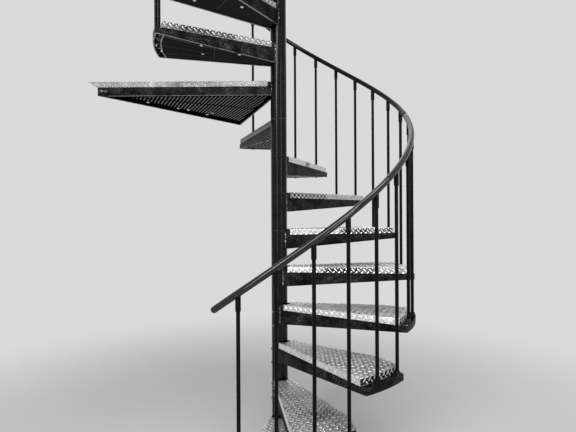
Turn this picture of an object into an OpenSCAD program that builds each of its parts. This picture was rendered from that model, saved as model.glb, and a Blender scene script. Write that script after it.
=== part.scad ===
// Steel spiral stair with checker plate treads, a landing part way up and a landing at the top.
// The origin is on the column's axis at floor level. The stair climbs anticlockwise.
// Treads and landings are numbered by their level, 1 being the first above the floor.

/* [Climb] */
// Height from one tread to the next
rise = 200; // [180:5:220]
// Angle from one tread to the next on the lower flight
lower_step = 24.5; // [23:0.5:26]
// Angle from one tread to the next on the upper flight
upper_step = 25; // [24:0.5:26]
// Direction of the first tread's front edge
start_angle = -108.8; // [-120:0.1:-100]
// Direction of the front edge of the first tread above the landing
upper_angle = 177.5; // [176:0.5:178]
// Direction that the top landing's front edge is turned past the last tread
top_step = 25; // [24:0.5:27]

/* [Column] */
// Diameter of the tube that all the treads are threaded on
core_d = 76; // [60:1:78]
// Wall of that tube
core_wall = 4; // [3:0.5:6]
// Outer diameter of the sleeve that each tread has
sleeve_d = 86; // [84:1:100]
// Room between the tube and the sleeves
sleeve_clearance = 0.5; // [0.3:0.1:0.8]
// Height of each sleeve's seam below the top of its tread
seam_drop = 7; // [4:1:12]
// Height of the domed cap on the column
cap_h = 26; // [16:1:40]

/* [Floor flange] */
// Diameter of the flange
flange_d = 240; // [210:5:300]
// Thickness of the flange
flange_t = 12; // [8:1:20]
// Height of the collar on the flange
collar_h = 40; // [20:5:60]
// Diameter of the anchor holes' circle
anchor_circle_d = 190; // [160:5:200]
// Diameter of an anchor hole
anchor_hole_d = 14; // [10:1:18]
// How many anchor holes there are
anchor_count = 6; // [4:1:8]

/* [Treads] */
// Outer radius of the lower flight
lower_radius = 710; // [650:5:800]
// Outer radius of the upper flight
upper_radius = 652; // [620:2:760]
// Greatest width of a lower tread, across its front edge
tread_width = 265; // [250:5:280]
// Angle between the two side bars of a lower tread
lower_wedge = 21.4; // [20:0.1:23]
// Angle between the two side bars of an upper tread
upper_wedge = 24; // [23:0.1:26]
// How far the front edge stands ahead of the column's centre
front_offset = 38; // [32:1:40]
// How far the rear edge of a lower tread stands behind the column's centre
lower_rear_offset = 30; // [26:1:38]
// How far the rear edge of an upper tread stands behind the column's centre
upper_rear_offset = 37; // [26:1:38]
// Turn of a lower tread's front edge from a true radius
lower_turn = 2; // [0:0.5:4]
// Turn of an upper tread's front edge from a true radius
upper_turn = 3; // [0:0.5:4]
// Thickness of the flat bars
bar_t = 8; // [5:1:10]
// Depth of the side bars at the column
inner_depth = 105; // [90:1:120]
// Depth of the side bars at the rim
outer_depth = 58; // [50:1:66]
// Thickness of the curved bars at a tread's outer end
rim_t = 6; // [4:1:8]
// Width of the slot between those two curved bars
slot_w = 28; // [26:1:45]

/* [Checker plate] */
// Thickness of the checker plate
plate_t = 3; // [2:0.5:4]
// Height of the plate's folded edge
lip_h = 30; // [24:1:36]
// Bare stretch of the frame between the sleeve and the plate
lug_l = 20; // [14:1:30]

/* [Boards] */
// Thickness of the board that closes a tread's underside
board_t = 12; // [9:1:18]
// How far the board lies above the lower edge of the bars
board_recess = 4; // [2:1:8]

/* [Landings] */
// Level of the landing part way up
landing_level = 10; // [10:1:10]
// Reach of a landing's front edge from the column's centre
landing_front_reach = 805; // [760:5:900]
// Reach of a landing's rear edge from the column's centre
landing_rear_reach = 980; // [900:5:1050]
// How far a landing's front edge passes behind the column's centre
landing_front_offset = 8; // [4:1:14]
// Turn of a landing's front edge towards the tread below it
landing_front_turn = 2.5; // [0:0.1:4]
// How far a landing's rear edge stands behind the column's centre
landing_rear_offset = 23; // [18:1:28]
// Angle from a landing's direction to its rear edge
landing_sweep = 66.7; // [66:0.1:68]
// Depth of a landing's bars
landing_depth = 75; // [65:1:90]
// How far a landing's plate laps over the floor that it leads to
landing_lap = 35; // [20:1:50]

/* [Balusters] */
// Diameter of a baluster
baluster_d = 16; // [12:1:18]
// Outer diameter of the ferrule under the rail
ferrule_d = 22; // [20:1:26]
// Length of the ferrule under the rail
ferrule_l = 44; // [30:1:60]
// Outer diameter of the socket that a baluster stands in
socket_d = 26; // [20:1:28]
// Height of that socket
socket_h = 16; // [10:1:24]
// Angle from a tread's front edge to its first baluster
first_baluster = 5.4; // [4:0.1:6]
// Angle from a tread's first baluster to its second
baluster_gap = 12.25; // [11:0.05:13]
// Room between a baluster and the outer bar of the rim
baluster_room = 2; // [1:0.5:4]
// Thickness of the pad under a baluster
pad_t = 6; // [4:1:8]
// Length of the pad along the rim
pad_l = 40; // [34:1:60]

/* [Handrail] */
// Diameter of the handrail
rail_d = 28; // [24:1:40]
// Height of the rail above a tread, at the tread's first baluster
rail_height = 770; // [700:10:950]
// Angle that the rail runs on past its last balusters
rail_overrun = 8.5; // [4:0.5:10]
// Direction of the joint in the lower rail
rail_joint_angle = 0; // [-4:1:4]
// Height of the rounded cap on each end of the rail
rail_cap_l = 12; // [8:1:14]

/* [Hidden] */
upper_count = 4;
top_level = landing_level + upper_count + 1;
last_lower = landing_level - 1;
lower_levels = [for (i = [1 : last_lower]) i];
upper_levels = [for (i = [landing_level + 1 : top_level - 1]) i];
tread_levels = concat(lower_levels, upper_levels);

core_r = core_d / 2;
sleeve_r = sleeve_d / 2;
sleeve_bore_r = core_r + sleeve_clearance;
column_top = top_level * rise - seam_drop;
// Extra that a cutting body reaches past the face that it cuts
past = 1;
far = 3 * landing_rear_reach;
// Bite of a baluster's pad into the bars on both sides of it, past the socket's edge
pad_bite = socket_d / 2 - baluster_d / 2 - baluster_room + 1;
rail_r = rail_d / 2;
// Room between the rail and the saddle of a ferrule
rail_fit = 0.3;
round_fn = 96;
rail_sides = 20;
rail_ring_step = baluster_gap / 4;

function two_digits(i) = i < 10 ? str("0", i) : str(i);
function frame_name(i) = str("tread_frame_", two_digits(i));
function plate_name(i) = str("tread_plate_", two_digits(i));

function level_z(i) = i * rise;
function is_upper(i) = i > landing_level;
function outer_r(i) = is_upper(i) ? upper_radius : lower_radius;
function tread_angle(i) = is_upper(i)
    ? upper_angle + (i - landing_level - 1) * upper_step
    : start_angle + (i - 1) * lower_step;
// The treads below and above the landing are whole wedges, the others end in a straight strip
function is_whole(i) = i >= last_lower;
function wedge_angle(i) = is_upper(i) ? upper_wedge : lower_wedge;
function front_turn(i) = is_upper(i) ? upper_turn : lower_turn;
function rear_offset(i) = is_upper(i) ? upper_rear_offset : lower_rear_offset;
// Inner faces of the rim, and outer end of the checker plate
function rim_inner_r(i) = outer_r(i) - rim_t;
function plate_r(i) = rim_inner_r(i) - slot_w;
function baluster_r(i) = rim_inner_r(i) - baluster_room - baluster_d / 2;
function baluster_angle(i, n) = tread_angle(i) + first_baluster + n * baluster_gap;

// Point where the line through p at angle a meets the line through q at angle b
function meeting(p, a, q, b) =
    let (w = q - p, s = (w.x * sin(b) - w.y * cos(b)) / sin(b - a))
    p + s * [cos(a), sin(a)];

// Plan of a tread, its front edge near the X axis, all sides moved out by grow
function front_base(a, grow) = [0, -front_offset] + grow * [sin(a), -cos(a)];
function rear_base(i, a, grow) = [0, rear_offset(i)] + grow * [-sin(a), cos(a)];
function strip_base(a, grow) = front_base(a, -tread_width - grow);
function tread_plan(i, grow) =
    let (
        front_a = front_turn(i),
        rear_a = front_a + wedge_angle(i),
        front = front_base(front_a, grow),
        rear = rear_base(i, rear_a, grow),
        bend = meeting(rear, rear_a, strip_base(front_a, grow), front_a),
        ahead = far * [cos(front_a), sin(front_a)],
        back = far * [cos(rear_a), sin(rear_a)]
    )
    is_whole(i)
        ? [front, front + ahead, rear + back, rear]
        : [front, front + ahead, bend + ahead, bend, rear];

// Plan of a landing, its front edge near the X axis
function landing_front_base(grow) =
    [0, landing_front_offset] - grow * [sin(landing_front_turn), cos(landing_front_turn)];
function landing_corner_front() =
    landing_front_base(0) + landing_front_reach * [cos(landing_front_turn), -sin(landing_front_turn)];
function landing_rear_base(grow) =
    (landing_rear_offset + grow) * [-sin(landing_sweep), cos(landing_sweep)];
function landing_corner_rear() =
    landing_rear_base(0) + landing_rear_reach * [cos(landing_sweep), sin(landing_sweep)];
function landing_edge_angle() =
    let (d = landing_corner_rear() - landing_corner_front())
    atan2(d.y, d.x);
function landing_plan(grow, edge_grow) =
    let (
        edge_a = landing_edge_angle(),
        front = landing_front_base(grow),
        rear = landing_rear_base(grow),
        edge = landing_corner_front() + edge_grow * [sin(edge_a), -cos(edge_a)]
    )
    [
        front,
        meeting(front, -landing_front_turn, edge, edge_a),
        meeting(rear, landing_sweep, edge, edge_a),
        rear
    ];
function beyond_landing_edge() =
    let (
        edge_a = landing_edge_angle(),
        along = far * [cos(edge_a), sin(edge_a)],
        out = far * [sin(edge_a), -cos(edge_a)],
        p = landing_corner_front()
    )
    [p - along, p - along + out, p + along + out, p + along];

module prism(plan, z0, z1) {
    translate([0, 0, z0])
        linear_extrude(z1 - z0)
            polygon(plan);
}

module disc(r, z0, z1) {
    translate([0, 0, z0])
        cylinder(r = r, h = z1 - z0, $fn = round_fn);
}

module ring(r0, r1, z0, z1) {
    difference() {
        disc(r1, z0, z1);
        disc(r0, z0 - past, z1 + past);
    }
}

// Everything below the slope that runs along the underside of a tread's bars, raised by up
module below_slope(i, up) {
    fall = atan((inner_depth - outer_depth) / (outer_r(i) - sleeve_r));
    rotate([0, 0, front_turn(i) + wedge_angle(i) / 2])
        translate([sleeve_r, 0, up - inner_depth])
            rotate([0, -fall, 0])
                translate([-far / 2, -far / 2, -far])
                    cube([far, far, far]);
}

module sleeve(i) {
    low = i == 1 ? flange_t + collar_h : level_z(i - 1) - seam_drop;
    ring(sleeve_bore_r, sleeve_r, low - level_z(i), -seam_drop);
}

// Room that the bars leave for the sleeve of the level above
module next_sleeve_room() {
    disc(sleeve_r + sleeve_clearance, -seam_drop - past, past);
}

module at_level(i, angle) {
    translate([0, 0, level_z(i)])
        rotate([0, 0, angle])
            children();
}

// Pad and socket that one baluster stands in
module baluster_seat(i, n) {
    pad_in = plate_r(i) - plate_t - pad_bite;
    rotate([0, 0, first_baluster + n * baluster_gap]) {
        translate([pad_in, -pad_l / 2, -lip_h - pad_t])
            cube([rim_inner_r(i) + pad_bite - pad_in, pad_l, pad_t]);
        translate([baluster_r(i), 0, 0])
            disc(socket_d / 2, -lip_h, -lip_h + socket_h);
    }
}

module tread_bars(i) {
    intersection() {
        difference() {
            prism(tread_plan(i, -plate_t), -inner_depth, -plate_t);
            prism(tread_plan(i, -plate_t - bar_t), -inner_depth - past, past);
        }
        disc(outer_r(i), -inner_depth, 0);
    }
}

module tread_ends(i) {
    end_r = plate_r(i) - plate_t;
    intersection() {
        union() {
            ring(end_r - rim_t, end_r, -inner_depth, -plate_t);
            ring(rim_inner_r(i), outer_r(i), -inner_depth, -lip_h);
        }
        prism(tread_plan(i, -plate_t), -inner_depth, 0);
    }
}

module tread_frame(i) {
    color("#1d1d1f")
        at_level(i, tread_angle(i))
            difference() {
                union() {
                    sleeve(i);
                    difference() {
                        union() {
                            difference() {
                                tread_bars(i);
                                ring(plate_r(i) - plate_t, far, -lip_h, past);
                            }
                            tread_ends(i);
                            for (n = [0, 1])
                                baluster_seat(i, n);
                        }
                        below_slope(i, 0);
                        next_sleeve_room();
                    }
                }
                disc(sleeve_bore_r, -rise, past);
                for (n = [0, 1])
                    rotate([0, 0, first_baluster + n * baluster_gap])
                        translate([baluster_r(i), 0, 0])
                            disc(baluster_d / 2, -lip_h, past);
            }
}

// A folded pan: the flat top and the edges turned down outside the bars
module tread_plate(i) {
    color("#c9cbcd")
        at_level(i, tread_angle(i))
            intersection() {
                difference() {
                    prism(tread_plan(i, 0), -lip_h, 0);
                    intersection() {
                        prism(tread_plan(i, -plate_t), -lip_h - past, -plate_t);
                        disc(plate_r(i) - plate_t, -lip_h - past, 0);
                    }
                }
                ring(sleeve_r + lug_l, plate_r(i), -lip_h - past, past);
            }
}

module tread_board(i) {
    at_level(i, tread_angle(i))
        difference() {
            intersection() {
                prism(tread_plan(i, -plate_t - bar_t), -inner_depth, -lip_h);
                ring(sleeve_r, plate_r(i) - plate_t - rim_t, -inner_depth, 0);
                below_slope(i, board_recess + board_t);
            }
            below_slope(i, board_recess);
        }
}

module landing_frame_at(i, angle) {
    color("#1d1d1f")
        at_level(i, angle)
            difference() {
                union() {
                    sleeve(i);
                    difference() {
                        prism(landing_plan(-plate_t, 0), -landing_depth, -plate_t);
                        prism(landing_plan(-plate_t - bar_t, -bar_t), -landing_depth - past, past);
                        next_sleeve_room();
                    }
                }
                disc(sleeve_bore_r, -rise, past);
            }
}

module landing_plate_at(i, angle) {
    color("#c9cbcd")
        at_level(i, angle)
            difference() {
                prism(landing_plan(0, landing_lap), -lip_h, 0);
                prism(landing_plan(-plate_t, landing_lap + past), -lip_h - past, -plate_t);
                prism(beyond_landing_edge(), -lip_h - past, -plate_t);
                disc(sleeve_r + lug_l, -lip_h - past, past);
            }
}

module landing_board_at(i, angle) {
    low = board_recess - landing_depth;
    at_level(i, angle)
        difference() {
            prism(landing_plan(-plate_t - bar_t, -bar_t), low, low + board_t);
            disc(sleeve_r, low - past, low + board_t + past);
        }
}

function landing_angle() = start_angle + (landing_level - 1) * lower_step;
function top_angle() = tread_angle(top_level - 1) + top_step;

// Height of the rail's centre line at an angle, for the flight whose first tread is given
function flight_step(first) = is_upper(first) ? upper_step : lower_step;
function rail_z(first, a) =
    level_z(first) + rail_height
    + (a - tread_angle(first) - first_baluster) * rise / flight_step(first);
function rail_tilt(first) = atan(rise / (flight_step(first) * (PI / 180) * baluster_r(first)));
// Depth of a baluster's top below the rail's centre line, clear of the sloping rail
function baluster_top_drop(first) =
    (rail_r + rail_fit) / cos(rail_tilt(first)) + (ferrule_d / 2) * tan(rail_tilt(first)) + past;
function rail_start(first) = tread_angle(first) + first_baluster - rail_overrun;
function rail_end(last) = baluster_angle(last, 1) + rail_overrun;

function rail_ring(first, a) =
    let (
        t = rail_tilt(first),
        out = [cos(a), sin(a), 0],
        up = [sin(a) * sin(t), -cos(a) * sin(t), cos(t)],
        centre = [baluster_r(first) * cos(a), baluster_r(first) * sin(a), rail_z(first, a)]
    )
    [for (k = [0 : rail_sides - 1])
        centre + rail_r * (cos(k * 360 / rail_sides) * out + sin(k * 360 / rail_sides) * up)];

// Angles of the rail's rings: both ends, and steps that fall on every baluster
function rail_angles(first, a0, a1) =
    let (
        base = baluster_angle(first, 0),
        j0 = floor((a0 - base) / rail_ring_step) + 1,
        j1 = ceil((a1 - base) / rail_ring_step) - 1
    )
    [a0, for (j = [j0 : j1]) base + j * rail_ring_step, a1];

// A tube swept along the helix, which no exact solid of this language follows
module rail_sweep(first, a0, a1) {
    angles = rail_angles(first, a0, a1);
    last = (len(angles) - 1) * rail_sides;
    points = [for (a = angles) each rail_ring(first, a)];
    sides = [for (b = [0 : rail_sides : last - 1], k = [0 : rail_sides - 1])
        let (m = (k + 1) % rail_sides, c = b + rail_sides)
        each [[b + k, c + k, c + m], [b + k, c + m, b + m]]];
    start = [for (k = [1 : rail_sides - 2]) [0, k, k + 1]];
    end = [for (k = [1 : rail_sides - 2]) [last, last + k + 1, last + k]];
    polyhedron(points = points, faces = concat(start, sides, end));
}

module at_rail(first, a) {
    rotate([0, 0, a])
        translate([baluster_r(first), 0, rail_z(first, a)])
            children();
}

module rail(first, a0, a1) {
    color("#18181a")
        rail_sweep(first, a0, a1);
}

module balusters(first, levels, a0, a1) {
    color("#1a1a1c")
        for (i = levels, n = [0, 1])
            if (baluster_angle(i, n) > a0 && baluster_angle(i, n) < a1)
                rotate([0, 0, baluster_angle(i, n)])
                    translate([baluster_r(first), 0, 0])
                        disc(
                            baluster_d / 2,
                            level_z(i) - lip_h,
                            rail_z(first, baluster_angle(i, n)) - baluster_top_drop(first)
                        );
}

// A sleeve over the baluster's top, closed and cut to a saddle that the sloping rail lies in
module ferrule(first) {
    low = -baluster_top_drop(first) - ferrule_l;
    difference() {
        disc(ferrule_d / 2, low, 0);
        disc(baluster_d / 2, low - past, -baluster_top_drop(first));
        rotate([rail_tilt(first) + 90, 0, 0])
            cylinder(r = rail_r + rail_fit, h = far, center = true, $fn = round_fn);
    }
}

module ferrules(first, levels) {
    color("#1a1a1c")
        for (i = levels, n = [0, 1])
            at_rail(first, baluster_angle(i, n))
                ferrule(first);
}

// A low dome on a cylinder of the rail's size
module rail_cap(first, a, turn) {
    ball_r = (pow(rail_r, 2) + pow(rail_cap_l, 2)) / (2 * rail_cap_l);
    at_rail(first, a)
        rotate([rail_tilt(first) + turn, 0, 0])
            rotate([-90, 0, 0])
                intersection() {
                    translate([0, 0, rail_cap_l - ball_r])
                        sphere(r = ball_r, $fn = round_fn);
                    disc(rail_r, 0, rail_cap_l);
                }
}

module floor_flange() {
    color("#1d1d1f")
        difference() {
            union() {
                disc(flange_d / 2, 0, flange_t);
                disc(sleeve_r, 0, flange_t + collar_h);
            }
            disc(sleeve_bore_r, flange_t, flange_t + collar_h + past);
            for (k = [0 : anchor_count - 1])
                rotate([0, 0, k * 360 / anchor_count])
                    translate([anchor_circle_d / 2, 0, 0])
                        disc(anchor_hole_d / 2, -past, flange_t + past);
        }
}

module centre_column() {
    color("#1d1d1f")
        ring(core_r - core_wall, core_r, flange_t, column_top);
}

module column_cap() {
    ball_r = (pow(sleeve_r, 2) + pow(cap_h, 2)) / (2 * cap_h);
    color("#1d1d1f")
        translate([0, 0, column_top])
            intersection() {
                translate([0, 0, cap_h - ball_r])
                    sphere(r = ball_r, $fn = round_fn);
                disc(sleeve_r, 0, cap_h);
            }
}

module landing_frame() {
    landing_frame_at(landing_level, landing_angle());
}

module landing_plate() {
    landing_plate_at(landing_level, landing_angle());
}

module top_landing_frame() {
    landing_frame_at(top_level, top_angle());
}

module top_landing_plate() {
    landing_plate_at(top_level, top_angle());
}

module lower_tread_boards() {
    color("#232325")
        for (i = lower_levels)
            tread_board(i);
}

module upper_tread_boards() {
    color("#232325")
        for (i = upper_levels)
            tread_board(i);
}

module landing_boards() {
    color("#232325") {
        landing_board_at(landing_level, landing_angle());
        landing_board_at(top_level, top_angle());
    }
}

module front_balusters() {
    balusters(1, lower_levels, rail_start(1), rail_joint_angle);
}

module back_balusters() {
    balusters(1, lower_levels, rail_joint_angle, rail_end(last_lower));
}

module upper_balusters() {
    first = landing_level + 1;
    balusters(first, upper_levels, rail_start(first), rail_end(top_level - 1));
}

module lower_ferrules() {
    ferrules(1, lower_levels);
}

module upper_ferrules() {
    ferrules(landing_level + 1, upper_levels);
}

module lower_rail_front() {
    rail(1, rail_start(1), rail_joint_angle);
}

module lower_rail_back() {
    rail(1, rail_joint_angle, rail_end(last_lower));
}

module upper_rail() {
    first = landing_level + 1;
    rail(first, rail_start(first), rail_end(top_level - 1));
}

module rail_end_caps() {
    first = landing_level + 1;
    color("#18181a") {
        rail_cap(1, rail_start(1), 180);
        rail_cap(1, rail_end(last_lower), 0);
        rail_cap(first, rail_start(first), 180);
        rail_cap(first, rail_end(top_level - 1), 0);
    }
}

floor_flange();
centre_column();
column_cap();
for (i = tread_levels) tread_frame(i);
for (i = tread_levels) tread_plate(i);
landing_frame();
landing_plate();
top_landing_frame();
top_landing_plate();
lower_tread_boards();
upper_tread_boards();
landing_boards();
front_balusters();
back_balusters();
upper_balusters();
lower_ferrules();
upper_ferrules();
lower_rail_front();
lower_rail_back();
upper_rail();
rail_end_caps();
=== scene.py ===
import math

import bpy
from mathutils import Matrix, Quaternion, Vector


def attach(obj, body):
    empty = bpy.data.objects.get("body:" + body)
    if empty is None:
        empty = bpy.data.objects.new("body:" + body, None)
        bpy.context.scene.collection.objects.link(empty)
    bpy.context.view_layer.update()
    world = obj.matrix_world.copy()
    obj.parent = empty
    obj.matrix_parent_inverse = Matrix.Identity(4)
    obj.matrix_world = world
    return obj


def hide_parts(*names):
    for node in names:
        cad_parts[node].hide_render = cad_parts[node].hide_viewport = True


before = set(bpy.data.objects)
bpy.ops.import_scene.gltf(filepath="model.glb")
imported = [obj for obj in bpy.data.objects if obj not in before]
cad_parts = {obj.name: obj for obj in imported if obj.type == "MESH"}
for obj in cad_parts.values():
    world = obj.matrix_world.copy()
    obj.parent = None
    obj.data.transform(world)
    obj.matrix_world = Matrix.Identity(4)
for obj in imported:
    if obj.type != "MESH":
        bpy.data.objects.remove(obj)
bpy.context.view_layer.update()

# The stair's own figures, as in the CAD, in metres and degrees
stair = {
    "rise": 0.2,
    "startAngle": -108.8,
    "upperAngle": 177.5,
    "topStep": 25.0,
    "landing": 10,
    "top": 15,
    "lower": {"step": 24.5, "radius": 0.710, "wedge": 21.4, "rearOffset": 0.030, "turn": 2.0},
    "upper": {"step": 25.0, "radius": 0.652, "wedge": 24.0, "rearOffset": 0.037, "turn": 3.0},
    "treadWidth": 0.265,
    "frontOffset": 0.038,
    "sleeveRadius": 0.043,
    "seamDrop": 0.007,
    "innerDepth": 0.105,
    "outerDepth": 0.058,
    "barThick": 0.008,
    "rimThick": 0.006,
    "slotWidth": 0.028,
    "plateThick": 0.003,
    "lipHeight": 0.030,
    "lugLength": 0.020,
    "firstBaluster": 5.4,
    "balusterGap": 12.25,
    "balusterRoom": 0.002,
    "balusterDiameter": 0.016,
    "landingFrontReach": 0.805,
    "landingRearReach": 0.980,
    "landingFrontOffset": 0.008,
    "landingFrontTurn": 2.5,
    "landingRearOffset": 0.023,
    "landingSweep": 66.7,
    "landingLap": 0.035,
    "landingDepth": 0.075,
    "boardRecess": 0.004,
    "padThick": 0.006,
}
lowerLevels = list(range(1, stair["landing"]))
upperLevels = list(range(stair["landing"] + 1, stair["top"]))
treadLevels = lowerLevels + upperLevels
landingLevels = [stair["landing"], stair["top"]]


def pick(*pieces):
    bpy.ops.object.select_all(action="DESELECT")
    for piece in pieces:
        piece.select_set(True)
    bpy.context.view_layer.objects.active = pieces[0]


def editAll(piece):
    pick(piece)
    bpy.ops.object.mode_set(mode="EDIT")
    bpy.ops.mesh.select_all(action="SELECT")


def leaveEdit():
    bpy.ops.object.mode_set(mode="OBJECT")


def turnFacesOut():
    bpy.ops.mesh.select_all(action="SELECT")
    bpy.ops.mesh.normals_make_consistent(inside=False)


def shadeSmooth(piece, under=50):
    # smooth over edges flatter than so many degrees
    pick(piece)
    bpy.ops.object.shade_smooth_by_angle(angle=math.radians(under))


def turnedBy(degrees):
    return Matrix.Rotation(math.radians(degrees), 4, "Z")


def flight(level):
    # the figures of the flight that a level is in
    return stair["upper" if level > stair["landing"] else "lower"]


def treadAngle(level):
    if level == stair["top"]:
        return treadAngle(level - 1) + stair["topStep"]
    if level > stair["landing"]:
        return stair["upperAngle"] + (level - stair["landing"] - 1) * stair["upper"]["step"]
    return stair["startAngle"] + (level - 1) * stair["lower"]["step"]


def plateRadius(level):
    return flight(level)["radius"] - stair["rimThick"] - stair["slotWidth"]


def balusterRadius(level):
    return flight(level)["radius"] - stair["rimThick"] - stair["balusterRoom"] - stair["balusterDiameter"] / 2


def levelPlace(level):
    return Matrix.Translation((0, 0, level * stair["rise"])) @ turnedBy(treadAngle(level))


def along(degrees):
    return Vector((math.cos(math.radians(degrees)), math.sin(math.radians(degrees)), 0))


def leftOf(degrees):
    return Vector((-math.sin(math.radians(degrees)), math.cos(math.radians(degrees)), 0))


def lineMeeting(firstPoint, firstAlong, secondPoint, secondAlong):
    # how far along the first line the second one crosses it
    gap = secondPoint - firstPoint
    return gap.cross(secondAlong).z / firstAlong.cross(secondAlong).z


def reachTo(point, way, radius):
    # how far along a side it is to the circle of that radius about the column
    ahead = point.dot(way)
    return -ahead + math.sqrt(ahead * ahead + radius * radius - point.length_squared)


def sideOf(point, degrees, outward, start, end):
    return {"point": point, "along": along(degrees), "out": outward, "start": start, "end": end}


def plateSides(level):
    # the straight sides of a plate in its level's own place, with where each starts and ends
    hub = stair["sleeveRadius"] + stair["lugLength"]
    if level in landingLevels:
        front, rear = -stair["landingFrontTurn"], stair["landingSweep"]
        frontPoint = Vector((0, stair["landingFrontOffset"], 0))
        rearPoint = leftOf(rear) * stair["landingRearOffset"]
        frontStart, rearStart = reachTo(frontPoint, along(front), hub), reachTo(rearPoint, along(rear), hub)
        return [
            sideOf(frontPoint, front, -leftOf(front), frontStart, stair["landingFrontReach"]),
            sideOf(rearPoint, rear, leftOf(rear), rearStart, stair["landingRearReach"]),
        ]
    front = flight(level)["turn"]
    rear = front + flight(level)["wedge"]
    radius = plateRadius(level)
    frontPoint = Vector((0, -stair["frontOffset"], 0))
    rearPoint = Vector((0, flight(level)["rearOffset"], 0))
    rearEnd = reachTo(rearPoint, along(rear), radius)
    frontStart, frontEnd = reachTo(frontPoint, along(front), hub), reachTo(frontPoint, along(front), radius)
    sides = [sideOf(frontPoint, front, -leftOf(front), frontStart, frontEnd)]
    if level < stair["landing"] - 1:
        stripPoint = frontPoint + leftOf(front) * stair["treadWidth"]
        rearEnd = lineMeeting(rearPoint, along(rear), stripPoint, along(front))
        stripStart = lineMeeting(stripPoint, along(front), rearPoint, along(rear))
        sides.append(sideOf(stripPoint, front, leftOf(front), stripStart, reachTo(stripPoint, along(front), radius)))
    sides.append(sideOf(rearPoint, rear, leftOf(rear), reachTo(rearPoint, along(rear), hub), rearEnd))
    return sides


def landingEdge():
    # a point on a landing's straight outer edge and the way out, in its own place
    front, rear = plateSides(stair["landing"])
    frontCorner = front["point"] + front["along"] * front["end"]
    rearCorner = rear["point"] + rear["along"] * rear["end"]
    way = (rearCorner - frontCorner).normalized()
    return frontCorner, Vector((way.y, -way.x, 0))


def grainAngle(level):
    # the way that a plate's pattern runs, in its own place
    if level in landingLevels:
        return stair["landingSweep"]
    return flight(level)["turn"] + flight(level)["wedge"] / 2


# Nodes

def startMaterial(name):
    material = bpy.data.materials.new(name)
    material.use_nodes = True
    tree = material.node_tree
    return material, tree, tree.nodes["Principled BSDF"], tree.nodes.new("ShaderNodeTexCoord").outputs["Object"]


def addNode(tree, kind, inputs):
    # each input takes a plain value or another node's output
    node = tree.nodes.new("ShaderNode" + kind)
    for name, value in inputs.items():
        if isinstance(value, bpy.types.NodeSocket):
            tree.links.new(value, node.inputs[name])
        else:
            node.inputs[name].default_value = value
    return node


def rampOf(tree, value, low, high, fromValue=0.0, toValue=1.0):
    limits = {"From Min": low, "From Max": high, "To Min": fromValue, "To Max": toValue}
    return addNode(tree, "MapRange", {"Value": value, **limits}).outputs["Result"]


def mixColours(tree, factor, first, second):
    mix = tree.nodes.new("ShaderNodeMix")
    mix.data_type = "RGBA"
    tree.links.new(factor, mix.inputs["Factor"])
    for socket, colour in (("A", first), ("B", second)):
        target = [s for s in mix.inputs if s.name == socket and s.type == "RGBA"][0]
        if isinstance(colour, tuple):
            target.default_value = (*colour, 1)
        else:
            tree.links.new(colour, target)
    return [s for s in mix.outputs if s.type == "RGBA"][0]


def combine(tree, operation, first, second):
    both = addNode(tree, "Math", {0: first, 1: second})
    both.operation = operation
    return both.outputs[0]


def lengthOf(tree, vector):
    distance = addNode(tree, "VectorMath", {0: vector})
    distance.operation = "LENGTH"
    return distance.outputs["Value"]


def mixShaders(tree, factor, first, second, target):
    mix = addNode(tree, "MixShader", {0: factor, 1: first, 2: second})
    tree.links.new(mix.outputs[0], target)


# Camera, lights and stage

cameraValues = {
    "place": (0, -2.3533, 1.2638),
    "turn": -0.0205,
    "roll": -0.0051,
    "sensor": 36,
    "lens": 27.04,
    "shiftUp": 0.00224,
}


def addCamera():
    bpy.ops.object.camera_add(location=cameraValues["place"])
    camera = bpy.context.object
    level = Matrix.Rotation(cameraValues["turn"], 4, "Z") @ Matrix.Rotation(math.pi / 2, 4, "X")
    facing = level @ Matrix.Rotation(cameraValues["roll"], 4, "Z")
    camera.rotation_euler = facing.to_euler()
    camera.data.sensor_width = cameraValues["sensor"]
    camera.data.lens = cameraValues["lens"]
    camera.data.shift_y = cameraValues["shiftUp"]
    bpy.context.scene.camera = camera
    print("camera set")


addCamera()

lampValues = {
    "frontTop": {"at": (-0.55, -2.85, 3.75), "aim": (0, -0.5, 1.2), "roll": 0.71, "size": (4.4, 0.8), "watts": 130},
    "frontLeft": {"at": (-1.65, -3.35, 2.2), "aim": (0, -0.4, 1.2), "roll": 0, "size": (0.3, 3.0), "watts": 26},
    "frontRight": {"at": (2.2, -3.0, 2.0), "aim": (0, 0, 1.4), "roll": 0, "size": (0.3, 2.8), "watts": 26},
    "ceiling": {"at": (1.3, -1.1, 4.8), "aim": (0, 0, 1), "roll": 0.37, "size": (1.0, 2.6), "watts": 50},
    "back": {"at": (0.2, 3.2, 4.8), "aim": (0, 0, 1.6), "roll": 0, "size": (4.0, 3.0), "watts": 40},
}


def addLamp(name, lamp):
    bpy.ops.object.light_add(type="AREA", location=lamp["at"])
    light = bpy.context.object
    light.name = name
    toAim = (Vector(lamp["aim"]) - Vector(lamp["at"])).to_track_quat("-Z", "Y")
    light.rotation_euler = (toAim @ Quaternion((0, 0, 1), lamp["roll"])).to_euler()
    light.data.shape = "RECTANGLE"
    light.data.size, light.data.size_y = lamp["size"]
    light.data.energy = lamp["watts"]


for name, lamp in lampValues.items():
    addLamp(name, lamp)

stageValues = {
    "background": (0.70, 0.70, 0.705),
    "skyLight": (0.75, 0.76, 0.78),
    "skyStrength": 0.4,
    "floorColour": (0.56, 0.56, 0.56),
    "floorRadius": 14,
    "floorCorners": 96,
    "floorRoughness": 0.6,
    "fadeFrom": 1.0,
    "fadeTo": 3.4,
}


def seenOrGlossy(tree):
    # 1 for what the camera sees, straight or in a reflection
    path = tree.nodes.new("ShaderNodeLightPath")
    seen = combine(tree, "MAXIMUM", path.outputs["Is Camera Ray"], path.outputs["Is Glossy Ray"])
    return combine(tree, "MAXIMUM", seen, path.outputs["Is Transmission Ray"])


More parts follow.
